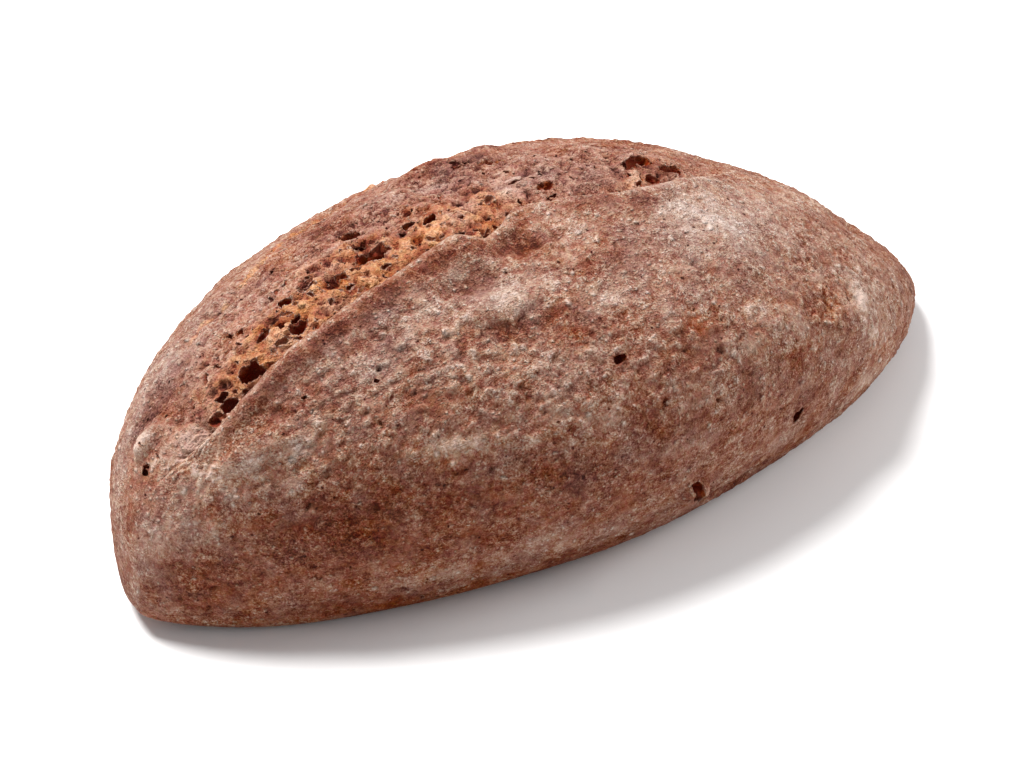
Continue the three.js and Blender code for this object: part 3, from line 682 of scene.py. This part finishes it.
# Each hole is a ball, squashed to its sizes and turned to lie in the surface.
large = add(tree, "GeometryNodeInstanceOnPoints", {"Points": places, "Instance": ball, "Rotation": turn,
                                                   "Scale": size})
amount = add(tree, "GeometryNodeInputNamedAttribute", {"Name": "sponge"}, data_type="FLOAT")
amount = add(tree, "ShaderNodeMath", {0: amount, 1: 0.7, 2: 0.3}, operation="MULTIPLY_ADD")
whole = add(tree, "GeometryNodeInputNamedAttribute", {"Name": "crumb"}, data_type="FLOAT")
amount = add(tree, "ShaderNodeMath", {0: amount, 1: whole}, operation="MULTIPLY")
strewn = add(tree, "GeometryNodeDistributePointsOnFaces",
             {"Mesh": given["Geometry"], "Distance Min": given["Spacing"], "Density Max": given["Density"],
              "Density Factor": amount, "Seed": given["Seed"]}, distribute_method="POISSON")
chance = add(tree, "FunctionNodeRandomValue", {"Seed": given["Seed"]}, data_type="FLOAT")
skewed = add(tree, "ShaderNodeMath", {0: chance, 1: 2.2}, operation="POWER")
radius = add(tree, "ShaderNodeMapRange", {0: skewed, 3: given["Smallest"], 4: given["Largest"]})
shape = add(tree, "FunctionNodeRandomValue", {"Min": (0.5, 0.2, 0.4), "Max": (1.1, 0.5, 0.7), "Seed": 11},
            data_type="FLOAT_VECTOR")
shape = add(tree, "ShaderNodeVectorMath", {0: shape, "Scale": radius}, operation="SCALE")
small = add(tree, "GeometryNodeInstanceOnPoints", {"Points": strewn, "Instance": small_ball,
                                                   "Rotation": strewn.outputs["Rotation"], "Scale": shape})
place = add(tree, "ShaderNodeVectorMath", {0: add(tree, "GeometryNodeInputPosition"), "Scale": 1 / MM},
            operation="SCALE")
bubbles = []
for group, (raggedness, spacing) in zip((large, small), HOLE_LUMPS.items()):
    lumpy = add(tree, "ShaderNodeTexNoise", {"Vector": place, "Scale": 1 / spacing, "Detail": 2.0})
    lumpy = add(tree, "ShaderNodeVectorMath", {0: lumpy.outputs["Color"], 1: (0.5, 0.5, 0.5)},
                operation="SUBTRACT")
    lumpy = add(tree, "ShaderNodeVectorMath", {0: lumpy, "Scale": given[raggedness]}, operation="SCALE")
    lumpy = add(tree, "ShaderNodeVectorMath", {0: lumpy, "Scale": NOISE_GAIN}, operation="SCALE")
    loose = add(tree, "GeometryNodeRealizeInstances", {"Geometry": group})
    bubbles.append(add(tree, "GeometryNodeSetPosition", {"Geometry": loose, "Offset": lumpy}))
cut = add(tree, "GeometryNodeMeshBoolean", {"Mesh 1": given["Geometry"]}, operation="DIFFERENCE",
          solver="MANIFOLD")
for bubble in bubbles:
    tree.links.new(bubble.outputs[0], cut.inputs["Mesh 2"])
island = add(tree, "GeometryNodeInputMeshIsland").outputs["Island Index"]
in_island = add(tree, "GeometryNodeAccumulateField", {"Group ID": island}, data_type="INT")
fallen = add(tree, "FunctionNodeCompare", {"A": in_island.outputs["Total"], "B": LOOSE_BIT},
             data_type="INT", operation="LESS_THAN")
whole = add(tree, "GeometryNodeDeleteGeometry", {"Geometry": cut.outputs["Mesh"], "Selection": fallen},
            domain="POINT")
below = add(tree, "GeometryNodeProximity", {0: given["Geometry"]}, target_element="FACES")
below = add(tree, "ShaderNodeMath", {0: below.outputs["Distance"], 1: 1 / MM}, operation="MULTIPLY")
kept = add(tree, "GeometryNodeStoreNamedAttribute",
           {"Geometry": whole, "Name": "hole_depth", "Value": below}, data_type="FLOAT", domain="POINT")
add(tree, "NodeGroupOutput", {0: add(tree, "GeometryNodeSetMaterial", {
    "Geometry": add(tree, "GeometryNodeRealizeInstances", {"Geometry": kept}), "Material": crust})})
hole_tree = tree


def hole_places(name, holes, level):
    """Points for the gas holes, each with its half sizes and its turn as attributes, in metres."""
    x, g, length, width, depth = np.array(holes, float).T
    normal, far_way = smooth_frame(x, g)
    forward = np.cross(far_way, normal)
    smooth = smooth_point(x, g)
    mesh = bpy.data.meshes.new(name)
    rise = level(x, g, smooth) - HOLE_SINK * depth
    mesh.from_pydata(((smooth + normal * rise[:, None]) * MM).tolist(), [], [])
    turns = [Matrix(axes).transposed().to_euler() for axes in zip(forward, far_way, normal)]
    sizes = np.stack([length, width, depth], -1) * MM / 2
    mesh.attributes.new("size", "FLOAT_VECTOR", "POINT").data.foreach_set("vector", sizes.ravel())
    mesh.attributes.new("turn", "FLOAT_VECTOR", "POINT").data.foreach_set("vector", np.ravel(turns))
    markers = bpy.data.objects.new(name, mesh)
    bpy.context.scene.collection.objects.link(markers)
    return markers


def thin_out(target, most):
    """Takes triangles away where the mesh is flattest, until it has at most so many."""
    target.data.calc_loop_triangles()
    thin = target.modifiers.new("thin", "DECIMATE")
    thin.ratio = min(1, most / len(target.data.loop_triangles))
    thinned = target.evaluated_get(bpy.context.evaluated_depsgraph_get())
    target.data = bpy.data.meshes.new_from_object(thinned)
    target.modifiers.clear()


CRUST_TRIANGLES = 184000  # before the holes, whose walls add some
CRUST_SETTLING = 0.7  # how far the relief lowers the crust on the whole
thin_out(loaf, CRUST_TRIANGLES)
crust_holes = hole_places("crust_hole_places", CRUST_HOLES,
                          lambda x, g, points: spots(x, g, SWELLINGS, 2) - CRUST_SETTLING)
run_tree(loaf, hole_tree, {**HOLES, "Places": crust_holes})
bpy.data.objects.remove(crust_holes)
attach(loaf, "root")
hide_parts("rye_loaf")

# ---- The torn crumb ----------------------------------------------------------------------------------
# Where the slash burst, the inside of the loaf shows: a moist sponge of bubbles with thin torn walls,
# browned by the oven. Nearest the ear it tore last and is rawest. Farther off it dried into a skin.

RAWNESS = [(-112, 0.7), (-90, 1), (-24, 1), (-14, 0.9), (-3, 0.5), (14, 0.3), (27, 0.8), (40, 0.5)]
RAW_EDGE = [(6, 13, 21), (4, 5, 23), (4, 2.2, 25)]  # how it wavers: degrees, spacing, shift
CRUMB_RISE = 0.3  # of the torn face above the crust's own bed
CRUMB_EDGE_SINK = 3.5  # of its border, under the crust round it
CHUNK_DEPTH = 15  # of the piece, below its torn face
CRUMB_TRIANGLES = 122000  # before the holes, whose walls add more than half as many again
SMALL_HOLES = 130000.0  # to the square metre at most, before those too close together are left out
WALL_RISE = 1  # how far the relief lifts the walls between the crumb's bubbles
CRUMB_RINGS = 640
CRUMB_LINES = 190
crumb_x = np.linspace(-119, 73, CRUMB_RINGS)
far_g = along(FAR_CRUST_EDGE, crumb_x) - 7
near_g = along(EAR_LINE, crumb_x) + 1
g = mix(near_g[:, None], far_g[:, None], np.linspace(0, 1, CRUMB_LINES)[None])
x = np.broadcast_to(crumb_x[:, None], g.shape)
smooth = smooth_point(x, g)
normals, far_ways = smooth_frame(x, g)
gap = g - along(EAR_LINE, x)
burst = along(BURST_STRENGTH, x)
edge = far_edge(x, g)
inside = smoothstep(edge - 4, edge + 3, g) * smoothstep(0.0, 0.16, burst)
level = torn_level(x, g, smooth) + swollen(x, g, smooth) + CRUMB_RISE
level -= CRUMB_EDGE_SINK * (1 - inside) ** 2
strands = drawn_out(x, g, smooth)
level += STRAND_HEIGHT * strands
raw = smoothstep(-30, -12, gap + layered(smooth, RAW_EDGE) + 9 * smoothstep(-50, -88, x))
raw *= along(RAWNESS, x)
raw = np.clip(raw + 0.7 * smoothstep(0.35, 0.8, bumps(smooth, 12, 27)), 0, 1)
top_side = smooth + normals * level[..., None]
foot = top_side[:, [-1, 0]] - normals[:, [-1, 0]] * 2
foot[..., 2] -= CHUNK_DEPTH
rows = np.concatenate([top_side, foot], 1)
tips = [rows[0].mean(0), rows[-1].mean(0)]


def padded(numbers, fill=0.0):
    """The numbers of the torn face, with a fill for the two lines of its foot."""
    return np.concatenate([numbers, np.full((len(numbers), 2) + numbers.shape[2:], fill)], 1)


crumb = closed_skin("torn_crumb", rows, tips, {
    "way_out": padded(normals),
    "relief_share": padded(inside * smoothstep(0, 0.03, burst)),
    "crumb": padded(crumb_share(x, g) * mix(0.5, 1, smoothstep(-48, -18, gap)), 1.0),
    "sponge": padded(raw),
    "wrinkled": padded(0 * raw),
    "floured": padded(spots(x, g, FLOURED)),
    "browned_and_shaded": padded(spots(x, g, BROWNED_AND_SHADED)),
    "reddened": padded(spots(x, g, REDDENED) + strands),
    "strands": padded(strands),
    "facing_up": padded(normals[..., 2]),
    "lip": padded(0 * raw),
})
run_tree(crumb, relief_tree, RELIEF)
thin_out(crumb, CRUMB_TRIANGLES)
crumb_holes = hole_places("crumb_hole_places", CRUMB_HOLES,
                          lambda x, g, points: torn_level(x, g, points) + WALL_RISE)
run_tree(crumb, hole_tree, {**HOLES, "Places": crumb_holes, "Density": SMALL_HOLES})
bpy.data.objects.remove(crumb_holes)
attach(crumb, "root")

# ---- Floor, light and camera -------------------------------------------------------------------------
# White studio paper under a large softbox above and behind the loaf, with a weaker one at its side and
# white walls all round.

FLOOR = 3  # metres, from its middle to its sides
floor_mesh = bpy.data.meshes.new("floor")
floor_mesh.from_pydata([(-FLOOR, -FLOOR, 0), (FLOOR, -FLOOR, 0), (FLOOR, FLOOR, 0), (-FLOOR, FLOOR, 0)],
                       [], [(0, 1, 2, 3)])
floor = bpy.data.objects.new("floor", floor_mesh)
bpy.context.scene.collection.objects.link(floor)
paper = bpy.data.materials.new("white_studio_paper")
paper.use_nodes = True
paper.node_tree.nodes["Principled BSDF"].inputs["Base Color"].default_value = colour("#f7f6f5")
paper.node_tree.nodes["Principled BSDF"].inputs["Roughness"].default_value = 0.9
floor_mesh.materials.append(paper)

world = bpy.data.worlds.new("studio")
world.use_nodes = True
world.node_tree.nodes["Background"].inputs["Color"].default_value = colour("#f6f7fa")
world.node_tree.nodes["Background"].inputs["Strength"].default_value = 0.47
bpy.context.scene.world = world

LOAF_MIDDLE = Vector((0, 0, 0.03))
SOFTBOXES = {  # place, size, watts
    "top_softbox": ((-0.25, 0.45, 1.1), 0.5, 24.5),
    "side_softbox": ((1.2, -0.4, 0.55), 0.6, 10),
}
for name, (place, size, watts) in SOFTBOXES.items():
    light = bpy.data.lights.new(name, "AREA")
    light.shape = "DISK"
    light.size = size
    light.energy = watts
    lamp = bpy.data.objects.new(name, light)
    lamp.location = place
    lamp.rotation_euler = (LOAF_MIDDLE - Vector(place)).to_track_quat("-Z", "Y").to_euler()
    bpy.context.scene.collection.objects.link(lamp)

AZIMUTH, ELEVATION, DISTANCE = -36.15, 36.78, 578.7 * MM
AIM_RIGHT, AIM_UP, AIM_HEIGHT = -7.71 * MM, -15.03 * MM, 36 * MM
LENS_HALF_ANGLE = 13  # degrees, half of the view's width
azimuth, elevation = math.radians(AZIMUTH), math.radians(ELEVATION)
back = Vector((math.sin(azimuth) * math.cos(elevation), -math.cos(azimuth) * math.cos(elevation),
               math.sin(elevation)))
right = Vector((math.cos(azimuth), math.sin(azimuth), 0))
up_way = back.cross(right)
lens = bpy.data.cameras.new("camera")
lens.sensor_width = 36
lens.lens = lens.sensor_width / 2 / math.tan(math.radians(LENS_HALF_ANGLE))
camera = bpy.data.objects.new("camera", lens)
camera.location = Vector((0, 0, AIM_HEIGHT)) + right * AIM_RIGHT + up_way * AIM_UP + back * DISTANCE
camera.rotation_euler = Matrix((right, up_way, back)).transposed().to_euler()
bpy.context.scene.collection.objects.link(camera)
bpy.context.scene.camera = camera
bpy.context.scene.view_settings.view_transform = "Standard"
